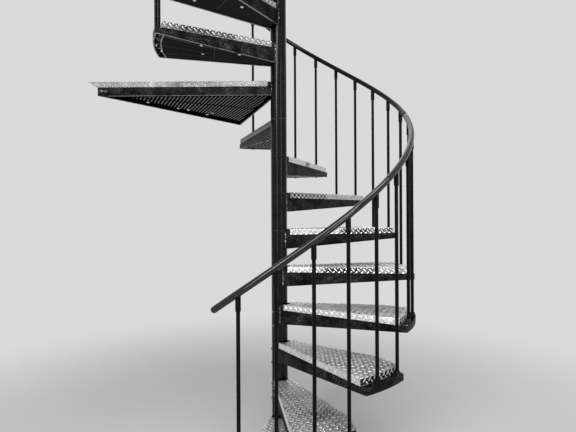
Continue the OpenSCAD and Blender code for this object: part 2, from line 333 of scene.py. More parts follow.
def setWorld():
    world = bpy.data.worlds.new("studio")
    bpy.context.scene.world = world
    world.use_nodes = True
    tree = world.node_tree
    tree.nodes.clear()
    sky = {"Color": (*stageValues["skyLight"], 1), "Strength": stageValues["skyStrength"]}
    light = addNode(tree, "Background", sky)
    seen = addNode(tree, "Background", {"Color": (*stageValues["background"], 1)})
    out = tree.nodes.new("ShaderNodeOutputWorld")
    mixShaders(tree, seenOrGlossy(tree), light.outputs[0], seen.outputs[0], out.inputs["Surface"])


def addFloor():
    bpy.ops.mesh.primitive_circle_add(
        vertices=stageValues["floorCorners"], radius=stageValues["floorRadius"], fill_type="NGON"
    )
    floor = bpy.context.object
    floor.name = "studio_floor"
    material, tree, shader, place = startMaterial("paleFloor")
    shader.inputs["Base Color"].default_value = (*stageValues["floorColour"], 1)
    shader.inputs["Roughness"].default_value = stageValues["floorRoughness"]
    fade = rampOf(tree, lengthOf(tree, place), stageValues["fadeFrom"], stageValues["fadeTo"])
    fade.node.interpolation_type = "SMOOTHSTEP"
    seen = combine(tree, "MULTIPLY", fade, seenOrGlossy(tree))
    backdrop = addNode(tree, "Emission", {"Color": (*stageValues["background"], 1)})
    surface = tree.nodes["Material Output"].inputs["Surface"]
    mixShaders(tree, seen, shader.outputs[0], backdrop.outputs[0], surface)
    floor.data.materials.append(material)


setWorld()
addFloor()
bpy.context.scene.view_settings.view_transform = "Standard"
print("stage set")


# Finishes

def grey(value, blue=0.0):
    return (value, value, value + blue)


def noise(tree, place, scale, detail=4, roughness=0.55, stretch=None):
    if stretch:
        place = addNode(tree, "Mapping", {"Vector": place, "Scale": stretch}).outputs[0]
    grain = {"Vector": place, "Scale": scale, "Detail": detail, "Roughness": roughness}
    return addNode(tree, "TexNoise", grain).outputs["Fac"]


def roughen(tree, shader, height, strength, distance):
    bump = addNode(tree, "Bump", {"Height": height, "Strength": strength, "Distance": distance})
    tree.links.new(bump.outputs[0], shader.inputs["Normal"])


def setRoughness(tree, shader, gloss, worn, wornRoughness):
    dulled = combine(tree, "MULTIPLY", worn, wornRoughness)
    tree.links.new(combine(tree, "ADD", gloss, dulled), shader.inputs["Roughness"])


def blackPaint(name, values):
    material, tree, shader, place = startMaterial(name)
    cloud = rampOf(tree, noise(tree, place, values["cloudScale"]), *values["cloud"])
    dark = mixColours(tree, cloud, values["dark"], values["light"])
    rub = rampOf(tree, noise(tree, place, values["rubScale"], detail=6, roughness=0.7), *values["rub"])
    patch = rampOf(tree, noise(tree, place, values["patchScale"], detail=2), *values["patch"])
    worn = combine(tree, "MULTIPLY", rub, patch)
    shaded = mixColours(tree, worn, dark, values["scuff"])
    speck = rampOf(tree, noise(tree, place, values["speckScale"], detail=2), *values["specks"])
    tree.links.new(mixColours(tree, speck, shaded, values["speck"]), shader.inputs["Base Color"])
    gloss = rampOf(tree, noise(tree, place, values["glossScale"], detail=5), *values["gloss"], *values["roughness"])
    setRoughness(tree, shader, gloss, worn, values["wornRoughness"])
    shader.inputs["Specular IOR Level"].default_value = values["specular"]
    peel = noise(tree, place, values["peelScale"], detail=3)
    roughen(tree, shader, peel, values["peelStrength"], values["peelDepth"])
    return material


framePaintValues = {
    "dark": grey(0.002, 0.0001),
    "light": grey(0.013, 0.0003),
    "scuff": grey(0.12, -0.001),
    "speck": grey(0.22, -0.005),
    "cloud": (0.35, 0.7),
    "cloudScale": 22,
    "patch": (0.40, 0.58),
    "patchScale": 13.2,
    "rub": (0.51, 0.64),
    "rubScale": 190,
    "specks": (0.70, 0.74),
    "speckScale": 420,
    "gloss": (0.3, 0.7),
    "glossScale": 44,
    "roughness": (0.30, 0.48),
    "wornRoughness": 0.25,
    "specular": 0.03,
    "peelScale": 320,
    "peelStrength": 0.35,
    "peelDepth": 0.0006,
}
columnPaintValues = dict(
    framePaintValues,
    light=grey(0.005, 0.0002),
    scuff=grey(0.012),
    speck=grey(0.02),
    roughness=(0.12, 0.17),
    peelStrength=0.03,
    specular=0.15,
)
rodPaintValues = dict(
    columnPaintValues, light=grey(0.004, 0.0002), roughness=(0.20, 0.30), peelStrength=0.05, specular=0.07
)
railPaintValues = dict(rodPaintValues, roughness=(0.08, 0.13), scuff=grey(0.02), specular=0.5)
farRailPaintValues = dict(railPaintValues, specular=0.14)
# where hands and feet have rubbed the paint off the edges; their bright metal is partly a painted highlight along
# them
edgeWearAndHighlightValues = dict(
    framePaintValues, scuff=grey(0.5), patch=(0.30, 0.44), rub=(0.30, 0.48), rubScale=70, specular=0.12
)
# the raised bars on the painted outer ends are rubbed bright, partly a painted highlight
barWearAndHighlightValues = dict(edgeWearAndHighlightValues, patch=(0.28, 0.46), rubScale=160, scuff=grey(0.6), specular=0.5)
weldPaintValues = dict(
    framePaintValues,
    roughness=(0.14, 0.24),
    scuff=grey(0.3),
    speck=grey(0.55),
    specks=(0.60, 0.64),
    speckScale=150,
    specular=0.6,
)


def fromColumn(tree, place):
    flat = addNode(tree, "VectorMath", {0: place, 1: (1, 1, 0)})
    flat.operation = "MULTIPLY"
    return lengthOf(tree, flat.outputs[0])


def platedMetal(name, values):
    material, tree, shader, place = startMaterial(name)
    shader.inputs["Metallic"].default_value = 1.0
    cloud = rampOf(tree, noise(tree, place, values["cloudScale"], detail=6, roughness=0.6), *values["cloud"])
    shade = mixColours(tree, cloud, values["dark"], values["light"])
    tarnish = rampOf(tree, noise(tree, place, values["tarnishScale"], detail=2), *values["tarnished"])
    if "zone" in values:
        near, far = values["zone"]
        edge = values["zoneEdge"]
        distance = fromColumn(tree, place)
        starts, ends = rampOf(tree, distance, near, near + edge), rampOf(tree, distance, far, far - edge)
        tarnish = combine(tree, "MULTIPLY", tarnish, combine(tree, "MULTIPLY", starts, ends))
    shade = mixColours(tree, tarnish, shade, values["tarnish"])
    dirt = rampOf(tree, noise(tree, place, values["dirtScale"], detail=5, roughness=0.65), *values["dirty"])
    tree.links.new(mixColours(tree, dirt, shade, values["dirt"]), shader.inputs["Base Color"])
    gloss = rampOf(tree, noise(tree, place, values["glossScale"], detail=6), *values["gloss"], *values["roughness"])
    setRoughness(tree, shader, gloss, dirt, values["dirtRoughness"])
    scratch = noise(tree, place, values["scratchScale"], roughness=0.7, stretch=values["scratchStretch"])
    roughen(tree, shader, scratch, values["scratchStrength"], values["scratchDepth"])
    return material


plateGroundValues = {
    "dark": grey(0.38, 0.003),
    "light": grey(0.68, 0.005),
    "dirt": (0.13, 0.128, 0.125),
    "tarnish": (0.12, 0.119, 0.117),
    "cloud": (0.3, 0.72),
    "cloudScale": 14,
    "tarnished": (0.56, 0.70),
    "tarnishScale": 5,
    "zoneEdge": 0.03,
    "dirty": (0.52, 0.78),
    "dirtScale": 60,
    "gloss": (0.3, 0.7),
    "glossScale": 42,
    "roughness": (0.34, 0.50),
    "dirtRoughness": 0.2,
    "scratchScale": 160,
    "scratchStretch": (1, 6, 1),
    "scratchStrength": 0.4,
    "scratchDepth": 0.0003,
}
wornBarValues = dict(
    plateGroundValues,
    dark=grey(0.92, 0.005),
    light=grey(1.0),
    dirt=grey(0.5),
    tarnish=grey(0.6),
    roughness=(0.22, 0.36),
)
# the upright edges of the lower pans take a lighter copy of the plate's finish, as painted light
litLipGroundValues = dict(
    plateGroundValues,
    dark=grey(0.62, 0.005),
    light=grey(0.8, 0.01),
    dirt=(0.24, 0.235, 0.23),
    tarnish=grey(0.1),
    tarnished=(0.60, 0.68),
)
# some front edges are darker, with near-black patches along the middle of their length
darkPatchLipValues = dict(
    litLipGroundValues, dark=grey(0.42, 0.003), light=grey(0.56, 0.005), tarnish=grey(0.03), tarnished=(0.30, 0.42)
)
darkPatchZones = {5: (0.22, 0.52), 6: (0.33, 0.72), 7: (0.03, 0.35)}
# the edges and bars of the pans from tread 9 up are rougher, and take darker copies of their finish as painted shade
shadedHighLipValues = dict(
    litLipGroundValues, dark=grey(0.15, 0.002), light=grey(0.27, 0.005), tarnished=(0.56, 0.66), roughness=(0.45, 0.60)
)
shadedHighBarValues = dict(shadedHighLipValues, dark=grey(0.3, 0.005), light=grey(0.48, 0.005), tarnish=grey(0.2))
# the upper flight's edges take a darker copy still, painted shade, with lighter patches beside the column; its bars
# take a shaded copy that stands out against them
shadedUpperLipValues = dict(
    shadedHighLipValues,
    dark=grey(0.05, 0.001),
    light=grey(0.14, 0.002),
    tarnish=grey(0.32),
    tarnished=(0.30, 0.50),
    zone=(0.03, 0.27),
)
shadedUpperBarValues = dict(
    shadedHighLipValues, dark=grey(0.5, 0.005), light=grey(0.85, 0.005), tarnish=grey(0.3), roughness=(0.30, 0.45)
)


def soffitFinish(name, values):
    material, tree, shader, place = startMaterial(name)
    parts = addNode(tree, "SeparateXYZ", {0: place})
    angle = combine(tree, "ARCTAN2", parts.outputs["Y"], parts.outputs["X"])
    around = combine(tree, "MULTIPLY", angle, values["linesPerRadian"])
    outward = combine(tree, "MULTIPLY", lengthOf(tree, place), values["linesAlong"])
    grain = addNode(tree, "CombineXYZ", {"X": around, "Y": outward}).outputs[0]
    lines = noise(tree, grain, 1.0, detail=3, roughness=0.6)
    tone = rampOf(tree, lines, *values["tone"])
    tree.links.new(mixColours(tree, tone, values["dark"], values["light"]), shader.inputs["Base Color"])
    tree.links.new(rampOf(tree, lines, *values["gloss"], *values["roughness"]), shader.inputs["Roughness"])
    shader.inputs["Specular IOR Level"].default_value = values["specular"]
    roughen(tree, shader, lines, values["grainStrength"], values["grainDepth"])
    return material


soffitValues = {
    "dark": grey(0.001, 0.0001),
    "light": grey(0.012, 0.0002),
    "linesPerRadian": 120.0,
    "linesAlong": 3.0,
    "tone": (0.45, 0.75),
    "gloss": (0.3, 0.7),
    "roughness": (0.5, 0.65),
    "specular": 0.0,
    "grainStrength": 0.5,
    "grainDepth": 0.0008,
}
upperSoffitValues = dict(soffitValues, dark=grey(0.012), light=grey(0.1))
# the ribs and joint beads take a lighter grey than the board's black paint, with more gloss: a painted sheen
ribSheenPaintValues = dict(soffitValues, dark=grey(0.05), light=grey(0.13), roughness=(0.35, 0.5), specular=0.35)

framePaint = blackPaint("framePaint", framePaintValues)
columnPaint = blackPaint("columnPaint", columnPaintValues)
rodPaint = blackPaint("rodPaint", rodPaintValues)
railPaint = blackPaint("railPaint", railPaintValues)
farRailPaint = blackPaint("farRailPaint", farRailPaintValues)
edgeWearAndHighlight = blackPaint("edgeWearAndHighlight", edgeWearAndHighlightValues)
barWearAndHighlight = blackPaint("barWearAndHighlight", barWearAndHighlightValues)
weldPaint = blackPaint("weldPaint", weldPaintValues)
plateGround = platedMetal("plateGround", plateGroundValues)
wornBar = platedMetal("wornBar", wornBarValues)
litLipGround = platedMetal("litLipGround", litLipGroundValues)
darkPatchLips = {}
for level, zone in darkPatchZones.items():
    darkPatchLips[level] = platedMetal(f"scuffedLip{level}", dict(darkPatchLipValues, zone=zone))
shadedHighLip = platedMetal("shadedHighLip", shadedHighLipValues)
shadedHighBar = platedMetal("shadedHighBar", shadedHighBarValues)
shadedUpperLip = platedMetal("shadedUpperLip", shadedUpperLipValues)
shadedUpperBar = platedMetal("shadedUpperBar", shadedUpperBarValues)
soffitPaint = soffitFinish("soffitPaint", soffitValues)
upperSoffitPaint = soffitFinish("upperSoffitPaint", upperSoffitValues)
ribSheenPaint = soffitFinish("ribSheenPaint", ribSheenPaintValues)
screwMetal = platedMetal("screwMetal", dict(wornBarValues, roughness=(0.14, 0.24)))
print("finishes made")


def dress(piece, slotName, *materials):
    piece.data.materials.clear()
    for material in materials:
        piece.data.materials.append(material)
    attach(piece, "root")


# CAD pieces with their sharp edges eased, as filed or folded metal has them

easeValues = {
    "frame": {"width": 0.0022, "segments": 2},
    "plate": {"width": 0.0013, "segments": 3},
    "mergeWithin": 0.00002,
    "flatWithin": 0.5,
    "sharpFrom": 40,
    "smoothUnder": 32,
    "rimCorner": 0.007,
    "rimCuts": (0.25, 0.5, 0.75),
    "underside": -0.9,
    "upright": 0.2,
    "endWithin": 0.0009,
    "footStrip": 0.0265,
}


def easedCopy(nodeName, pieceName):
    piece = bpy.data.objects.new(pieceName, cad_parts[nodeName].data.copy())
    bpy.context.scene.collection.objects.link(piece)
    editAll(piece)
    bpy.ops.mesh.remove_doubles(threshold=easeValues["mergeWithin"])
    bpy.ops.mesh.dissolve_limited(angle_limit=math.radians(easeValues["flatWithin"]))
    leaveEdit()
    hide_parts(nodeName)
    return piece


def easeEdges(piece, values):
    # the narrow faces along the edges take the second material
    pick(piece)
    bevel = piece.modifiers.new("ease", "BEVEL")
    bevel.width = values["width"]
    bevel.segments = values["segments"]
    bevel.limit_method = "ANGLE"
    bevel.angle_limit = math.radians(easeValues["sharpFrom"])
    bevel.material = 1
    bpy.ops.object.modifier_apply(modifier=bevel.name)
    shadeSmooth(piece, easeValues["smoothUnder"])


def trim(piece, point, outward):
    # cuts off what lies on the outward side of a plane and closes the cut
    editAll(piece)
    bpy.ops.mesh.bisect(plane_co=point, plane_no=outward, use_fill=True, clear_outer=True)
    leaveEdit()


def roundRimCorners(piece, level):
    # the rim's two upright corners are ground round, in three cuts each
    turn = levelPlace(level)
    radius = easeValues["rimCorner"]
    for side in plateSides(level)[:2]:
        face = side["point"] - side["out"] * stair["plateThick"]
        corner = face + side["along"] * reachTo(face, side["along"], flight(level)["radius"])
        outward = corner.normalized()
        centre = corner - (outward + side["out"]) * radius / (1 + outward.dot(side["out"]))
        for share in easeValues["rimCuts"]:
            way = outward.slerp(side["out"], share)
            trim(piece, turn @ (centre + way * radius), turn.to_3x3() @ way)


def nodeAndPiece(kind, pieceKind):
    # each level with the name of its CAD node and of the piece that replaces it
    named = [(level, f"tread_{kind}_{level:02d}", f"tread_{pieceKind}_{level:02d}") for level in treadLevels]
    for level, landing in zip(landingLevels, ("landing", "top_landing")):
        named.append((level, f"{landing}_{kind}", f"{landing}_{pieceKind}"))
    return named


def easedFrames():
    for level, nodeName, pieceName in nodeAndPiece("frame", "bars"):
        piece = easedCopy(nodeName, pieceName)
        # the eased edges take the rubbed finish, partly a painted highlight
        dress(piece, "frame_paint", framePaint, edgeWearAndHighlight)
        if level in treadLevels:
            roundRimCorners(piece, level)
        easeEdges(piece, easeValues["frame"])
        # the bars' undersides take the same bright finish as the edges, a painted highlight
        for face in piece.data.polygons:
            if face.normal.z < easeValues["underside"] and face.center.xy.length > stair["sleeveRadius"]:
                face.material_index = 1
    print("frames eased")


easedFrames()


def paintLips(piece, level):
    # the turned-down outer end is painted, but for a bright strip at its foot
    top = level * stair["rise"] - easeValues["plate"]["width"] / 2
    foot = level * stair["rise"] - easeValues["footStrip"]
    editAll(piece)
    bpy.ops.mesh.bisect(plane_co=(0, 0, foot), plane_no=(0, 0, 1))
    leaveEdit()
    for face in piece.data.polygons:
        if face.center.z > top or face.material_index == 1:
            continue
        if level not in landingLevels and face.center.xy.length > plateRadius(level) - easeValues["endWithin"]:
            face.material_index = 3 if face.center.z > foot else 1
        # upright faces take their level's edge finish, painted lighter or darker by level to stand in for light and
        # shade
        elif abs(face.normal.z) < easeValues["upright"]:
            face.material_index = 2


# each level's edge finish: lighter on the lower treads as painted light, darker from tread 9 up as painted shade
def lipMetal(level):
    if level in darkPatchLips:
        return darkPatchLips[level]
    if level in upperLevels:
        return shadedUpperLip
    return litLipGround if level < lowerLevels[-1] else shadedHighLip


# each level's bar finish, darker from tread 9 up as painted shade
def barMetal(level):
    if level in upperLevels:
        return shadedUpperBar
    return wornBar if level < lowerLevels[-1] else shadedHighBar


def easedPlates():
    for level, nodeName, pieceName in nodeAndPiece("plate", "pan"):
        piece = easedCopy(nodeName, pieceName)
        dress(piece, "checker_plate", plateGround, barMetal(level), lipMetal(level), framePaint)
        easeEdges(piece, easeValues["plate"])
        paintLips(piece, level)
    print("plates eased")


easedPlates()


# Raised bars of the checker plate

checkerValues = {
    "pitch": 0.030,
    "length": 0.024,
    "width": 0.0080,
    "height": 0.0013,
    "sink": 0.0003,
    "crown": (0.86, 0.55),
    "corners": 10,
    "foldRoom": 0.0022,
    "highRoom": 0.005,
    "hubRoom": 0.003,
    "lipRoom": 0.0015,
    "lapRoom": 0.001,
    "treadWide": 0.36,
    "landingOver": 0.1,
    "chords": 8,
    "chordsOver": 3,
    "endMargin": 0.6,
    "endLength": 0.86,
    # turn in steps, drop and lean of the two bars that repeat around an outer end
    "endBars": [(0.27, 0.0090, 45), (0.73, 0.0208, -45)],
}


def raised(flat, length, values):
    # pulls a flat outline up into a low solid, its top smaller than its foot
    flat.scale = (length, values["width"], 1)
    bpy.ops.object.transform_apply(location=False, rotation=False, scale=True)
    editAll(flat)
    height, sink = values["height"], values["sink"]
    bpy.ops.mesh.extrude_region_move(TRANSFORM_OT_translate={"value": (0, 0, height + sink)})
    bpy.ops.transform.resize(value=(*values["crown"], 1), center_override=(0, 0, 0))
    turnFacesOut()
    bpy.ops.transform.translate(value=(0, 0, -sink))
    leaveEdit()
    return flat


def ovalBar(length, values):
    bpy.ops.mesh.primitive_circle_add(vertices=values["corners"], radius=0.5, fill_type="NGON", location=(0, 0, 0))
    return raised(bpy.context.object, length, values)


def ridge(length, values):
    # a long low strip that starts at the origin and runs along the X axis
    bpy.ops.mesh.primitive_plane_add(size=1, location=(0, 0, 0))
    strip = raised(bpy.context.object, length, values)
    strip.data.transform(Matrix.Translation((length / 2, 0, 0)))
    return strip


def copied(piece, matrix):
    twin = bpy.data.objects.new(piece.name + "_copy", piece.data.copy())
    bpy.context.scene.collection.objects.link(twin)
    twin.data.transform(matrix)
    return twin


def joined(pieces, name):
    pick(*pieces)
    if len(pieces) > 1:
        bpy.ops.object.join()
    pieces[0].name = name
    pieces[0].data.name = name
    return pieces[0]


def repeated(piece, count, step):
    if count < 2:
        return piece
    pick(piece)
    row = piece.modifiers.new("row", "ARRAY")
    row.count = count
    row.use_relative_offset = False
    row.use_constant_offset = True
    row.constant_offset_displace = step
    bpy.ops.object.modifier_apply(modifier=row.name)
    return piece


def barCell():
    # two bars at right angles, as the plate repeats them
    values = checkerValues
    first = ovalBar(values["length"], values)
    first.data.transform(turnedBy(45))
    half = values["pitch"] / 2
    second = copied(first, Matrix.Translation((half, half, 0)) @ turnedBy(90))
    return joined([first, second], "bar_cell")


def barField(longSide, shortSide):
    # a field of cells that starts at the origin and is centred on the X axis
    pitch = checkerValues["pitch"]
    columns = math.ceil(longSide / pitch) + 1
    rows = math.ceil(shortSide / pitch) + 1
    field = repeated(repeated(barCell(), columns, (pitch, 0, 0)), rows, (0, pitch, 0))
    field.data.transform(Matrix.Translation((0, -(rows - 1) * pitch / 2, 0)))
    return field


def trimRound(piece, level, radius):
    # cuts off what lies past a radius, in short straight cuts
    chords = checkerValues["chords"]
    over = checkerValues["chordsOver"]
    turn = (flight(level)["wedge"] + 2 * over) / chords
    reach = radius * math.cos(math.radians(turn / 2))
    for chord in range(chords):
        way = along(turn * (chord + 0.5) - over)
        trim(piece, way * reach, way)


def dropWithin(piece, radius, perPiece):
    # takes out the bars that come nearer to the column than the radius
    pick(piece)
    bpy.ops.object.mode_set(mode="EDIT")
    bpy.ops.mesh.select_mode(type="VERT")
    bpy.ops.mesh.select_all(action="DESELECT")
    leaveEdit()
    points = piece.data.vertices
    for start in range(0, len(points), perPiece):
        bar = points[start:start + perPiece]
        if min(math.hypot(vertex.co.x, vertex.co.y) for vertex in bar) < radius:
            for vertex in bar:
                vertex.select = True
    bpy.ops.object.mode_set(mode="EDIT")
    bpy.ops.mesh.delete(type="VERT")
    leaveEdit()


def topBars(level):
    room = checkerValues["foldRoom" if level < stair["landing"] else "highRoom"]
    reach, wide = plateRadius(level), checkerValues["treadWide"]
    if level in landingLevels:
        reach = stair["landingRearReach"] + checkerValues["landingOver"]
        wide = 2 * reach
    field = barField(reach, wide)
    field.data.transform(turnedBy(grainAngle(level)))
    hub = stair["sleeveRadius"] + stair["lugLength"]
    dropWithin(field, hub + checkerValues["hubRoom"], 2 * checkerValues["corners"])
    for side in plateSides(level):
        trim(field, side["point"] - side["out"] * room, side["out"])
    if level in landingLevels:
        point, out = landingEdge()
        trim(field, point + out * (stair["landingLap"] - checkerValues["lapRoom"]), out)
        return field
    trimRound(field, level, plateRadius(level) - room)
    return field


def sidePlace(side, start):
    # place on a straight side: X runs along it, Z points out
    ways = Matrix((side["along"], side["out"].cross(side["along"]), side["out"])).transposed()
    return Matrix.Translation(side["point"] + side["along"] * start) @ ways.to_4x4()


def lipBars(side):
    # bars on one straight turned-down edge
    room, endRoom = checkerValues["foldRoom"] / 2, checkerValues["lipRoom"]
    upward = side["out"].cross(side["along"]).z
    length = side["end"] - side["start"]
    strip = barField(length, stair["lipHeight"])
    strip.data.transform(Matrix.Translation((0, -stair["lipHeight"] / 2 * upward, 0)))
    low, high = sorted((0, -stair["lipHeight"] * upward))
    for x, out in ((endRoom, -1), (length - endRoom, 1)):
        trim(strip, Vector((x, 0, 0)), Vector((out, 0, 0)))
    for y, out in ((low + room, -1), (high - room, 1)):
        trim(strip, Vector((0, y, 0)), Vector((0, out, 0)))
    strip.data.transform(sidePlace(side, side["start"]))
    return strip


def endLipBars(level):
    # bars around the curved outer end, painted over
    radius = plateRadius(level)
    sides = plateSides(level)
    corners = [side["point"] + side["along"] * side["end"] for side in (sides[0], sides[min(1, len(sides) - 1)])]
    first, last = [math.degrees(math.atan2(corner.y, corner.x)) for corner in corners]
    step = math.degrees(checkerValues["pitch"] / radius)
    count = int((last - first - checkerValues["endMargin"]) / step)
    margin = (last - first - count * step) / 2
    upright = Matrix(((0, 0, 1, 0), (1, 0, 0, 0), (0, 1, 0, 0), (0, 0, 0, 1)))
    bars = []
    for turn, drop, lean in checkerValues["endBars"]:
        one = ovalBar(checkerValues["length"] * checkerValues["endLength"], checkerValues)
        one.data.transform(turnedBy(lean))
        one.data.transform(Matrix.Translation((radius, 0, -drop)) @ upright)
        one.data.transform(turnedBy(first + margin + step * turn))
        bars.append(one)
    row = joined(bars, "end_lip_row")
    editAll(row)
    bpy.ops.mesh.spin(
        steps=count - 1, dupli=True, angle=math.radians(-step * (count - 1)), center=(0, 0, 0), axis=(0, 0, 1)
    )
    leaveEdit()
    return row


def setOut(pattern, levels, name, slotName, finish, smooth=False):
    # a copy of the pattern at each level, its finish the same for all or chosen by level
    for level in levels:
        piece = copied(pattern, levelPlace(level))
        piece.name = f"{name}_{level:02d}"
        dress(piece, slotName, finish(level) if callable(finish) else finish)
        if smooth:
            shadeSmooth(piece)
    bpy.data.objects.remove(pattern)


def checkerBars():
    # one pattern for each kind of tread, copied to the levels of that kind
    kinds = [lowerLevels[:-1], lowerLevels[-1:], upperLevels, landingLevels]
    for levels in kinds:
        level = levels[0]
        parts = [topBars(level)] + [lipBars(side) for side in plateSides(level)]
        setOut(joined(parts, "pattern"), levels, "checker_bars", "checker_plate", barMetal, smooth=True)
        if level in treadLevels:
            # the outer ends' bars are painted black, with rubbed spots that are partly a painted highlight
            setOut(endLipBars(level), levels, "end_lip_bars", "frame_paint", barWearAndHighlight, smooth=True)
    print("checker bars made")


checkerBars()


# Small pieces under and around the treads

def turned(corners, profile):
    # a round piece on the Z axis, drawn out from the first radius and height to the last
    radius, height = profile[0]
    bpy.ops.mesh.primitive_circle_add(vertices=corners, radius=radius, fill_type="NGON", location=(0, 0, 0))
    piece = bpy.context.object
    piece.data.transform(Matrix.Translation((0, 0, height)))
    editAll(piece)
    for nextRadius, nextHeight in profile[1:]:
        share = nextRadius / radius
        bpy.ops.mesh.extrude_region_move(TRANSFORM_OT_translate={"value": (0, 0, nextHeight - height)})
        bpy.ops.transform.resize(value=(share, share, 1), center_override=(0, 0, nextHeight))
        radius, height = nextRadius, nextHeight
    turnFacesOut()
    leaveEdit()
    return piece


def turnedSet(name, values, places, slotName, finish):
    # one piece of the same turned shape at each place
    shape = turned(values["corners"], values["profile"])
    copies = [copied(shape, place) for place in places]
    bpy.data.objects.remove(shape)
    piece = joined(copies, name)
    dress(piece, slotName, finish)
    shadeSmooth(piece)


def facing(way):
    # turns the Z axis to a direction
    return way.to_track_quat("Z", "Y").to_matrix().to_4x4()


def fall(level):
    return math.atan((stair["innerDepth"] - stair["outerDepth"]) / (flight(level)["radius"] - stair["sleeveRadius"]))


def underBoard(level):
    # place of a tread's board seen from below: X runs outward along the middle, Z points down
    flip = Matrix.Rotation(math.pi, 4, "X")
    if level in landingLevels:
        return Matrix.Translation((0, 0, stair["boardRecess"] - stair["landingDepth"])) @ flip
    middle = turnedBy(grainAngle(level))
    inner = Matrix.Translation((stair["sleeveRadius"], 0, stair["boardRecess"] - stair["innerDepth"]))
    return middle @ inner @ Matrix.Rotation(-fall(level), 4, "Y") @ flip


def underAt(level, x, y):
    # the board's underside above or below a point of the level's own plan
    board = underBoard(level)
    down = board.to_3x3() @ Vector((0, 0, 1))
    point = Vector((x, y, 0))
    rise = (board.translation - point).dot(down) / down.z
    return Matrix.Translation(point + Vector((0, 0, rise))) @ facing(down)


sleeveValues = {
    "skin": 0.0001,
    "core": 0.030,
    "ease": 0.0012,
    "corners": 64,
    "foot": 0.052,
    "smoothUnder": 30,
}


def columnSleeves():
    # smooth skins over the sleeves, eased where one stands on the next
    radius = stair["sleeveRadius"] + sleeveValues["skin"]
    ease, core = sleeveValues["ease"], sleeveValues["core"]
    for level in range(1, stair["top"] + 1):
        high = level * stair["rise"] - stair["seamDrop"]
        low = sleeveValues["foot"] if level == 1 else high - stair["rise"]
        profile = [(core, low), (radius - ease, low), (radius, low + ease)]
        profile += [(radius, high - ease), (radius - ease, high), (core, high)]
        sleeve = turned(sleeveValues["corners"], profile)
        sleeve.name = f"sleeve_{level:02d}"
        dress(sleeve, "frame_paint", columnPaint)
        shadeSmooth(sleeve, sleeveValues["smoothUnder"])
    print("sleeves made")


columnSleeves()

collarValues = {
    "profile": [(0.0155, 0), (0.0155, 0.0022), (0.0148, 0.0030), (0.0130, 0.0030)],
    "corners": 24,
}
studValues = {
    "profile": [(0.0045, 0), (0.0045, -0.010), (0.0095, -0.010), (0.0095, -0.018)]
    + [(0.0080, -0.021), (0.0055, -0.026), (0.0030, -0.028)],
    "corners": 12,
}


def footPieces():
    # a collar above and a stud below the pad under each baluster
    turns = [stair["firstBaluster"], stair["firstBaluster"] + stair["balusterGap"]]
    drop = Matrix.Translation((0, 0, -stair["padThick"]))
    for level in treadLevels:
        feet = [along(turn) * balusterRadius(level) - Vector((0, 0, stair["lipHeight"])) for turn in turns]
        top = [levelPlace(level) @ Matrix.Translation(foot) for foot in feet]
        turnedSet(f"foot_collars_{level:02d}", collarValues, top, "frame_paint", framePaint)
        bottom = [each @ drop for each in top]
        turnedSet(f"foot_studs_{level:02d}", studValues, bottom, "frame_paint", framePaint)
    print("feet made")


footPieces()

weldValues = {
    "ripple": [(0.0052, -0.0015), (0.0046, 0.0009), (0.0026, 0.0021)],
    "corners": 8,
    "squash": 0.72,
    "step": 0.0062,
    "margin": 0.006,
}


def weldSeam(level, side):
    # a row of ripples up the corner between a bar and its sleeve
    face = side["point"] - side["out"] * stair["plateThick"]
    foot = face + side["along"] * reachTo(face, side["along"], stair["sleeveRadius"])
    deep = stair["landingDepth"] if level in landingLevels else stair["innerDepth"]
    length = deep - stair["plateThick"] - 2 * weldValues["margin"]
    ripple = turned(weldValues["corners"], weldValues["ripple"])
    ripple.data.transform(Matrix.Diagonal((1, weldValues["squash"], 1, 1)))
    way = (side["out"] + foot.normalized()).normalized()
    ripple.data.transform(Matrix.Translation(foot + Vector((0, 0, weldValues["margin"] - deep))) @ facing(way))
    return repeated(ripple, int(length / weldValues["step"]), (0, 0, weldValues["step"]))


def weldSeams():
    for level in treadLevels + landingLevels:
        sides = [plateSides(level)[0], plateSides(level)[-1]]
        piece = joined([weldSeam(level, side) for side in sides], f"weld_seams_{level:02d}")
        piece.data.transform(levelPlace(level))
        dress(piece, "frame_paint", weldPaint)
        shadeSmooth(piece)
    print("welds made")


weldSeams()

setScrewValues = {
    "profile": [
        (0.0078, -0.001), (0.0078, 0.0018), (0.0066, 0.0036), (0.0042, 0.0044), (0.0030, 0.0044), (0.0026, 0.0020)
    ],
    "corners": 12,
    "drops": [0.046, 0.120],
    "turn": -110,
    "levels": [2, 3, 4, 5],
}


def setScrews():
    # two button heads hold each sleeve of the lowest treads to the column
    way = along(setScrewValues["turn"])
    places = []
    for level in setScrewValues["levels"]:
        for drop in setScrewValues["drops"]:
            point = way * stair["sleeveRadius"] - Vector((0, 0, drop))
            places.append(levelPlace(level) @ Matrix.Translation(point) @ facing(way))
    turnedSet("set_screws", setScrewValues, places, "frame_paint", weldPaint)
    print("set screws made")


setScrews()

screwValues = {
    "profile": [(0.0085, -0.0005), (0.0085, 0.0007), (0.0066, 0.0022), (0.0036, 0.0027), (0.0028, 0.0010)],
    "corners": 12,
    "upper": [(0.378, 0.192), (0.395, 0.082), (0.198, 0.105)],
    "second": [(0.378, 0.192), (0.463, 0.046), (0.238, 0.104)],
    "landing": [(0.417, 0.642), (0.493, 0.460), (0.509, 0.396), (0.583, 0.263), (0.528, 0.242)],
    "cornerAlong": [0.934, 0.957],
    "cornerDrop": 0.050,
}

jointValues = {
    "from": (0.313, 0.170),
    "to": (0.346, 0.020),
    "width": 0.0024,
    "height": 0.0006,
    "sink": 0.0003,
    "crown": (1, 0.6),
}


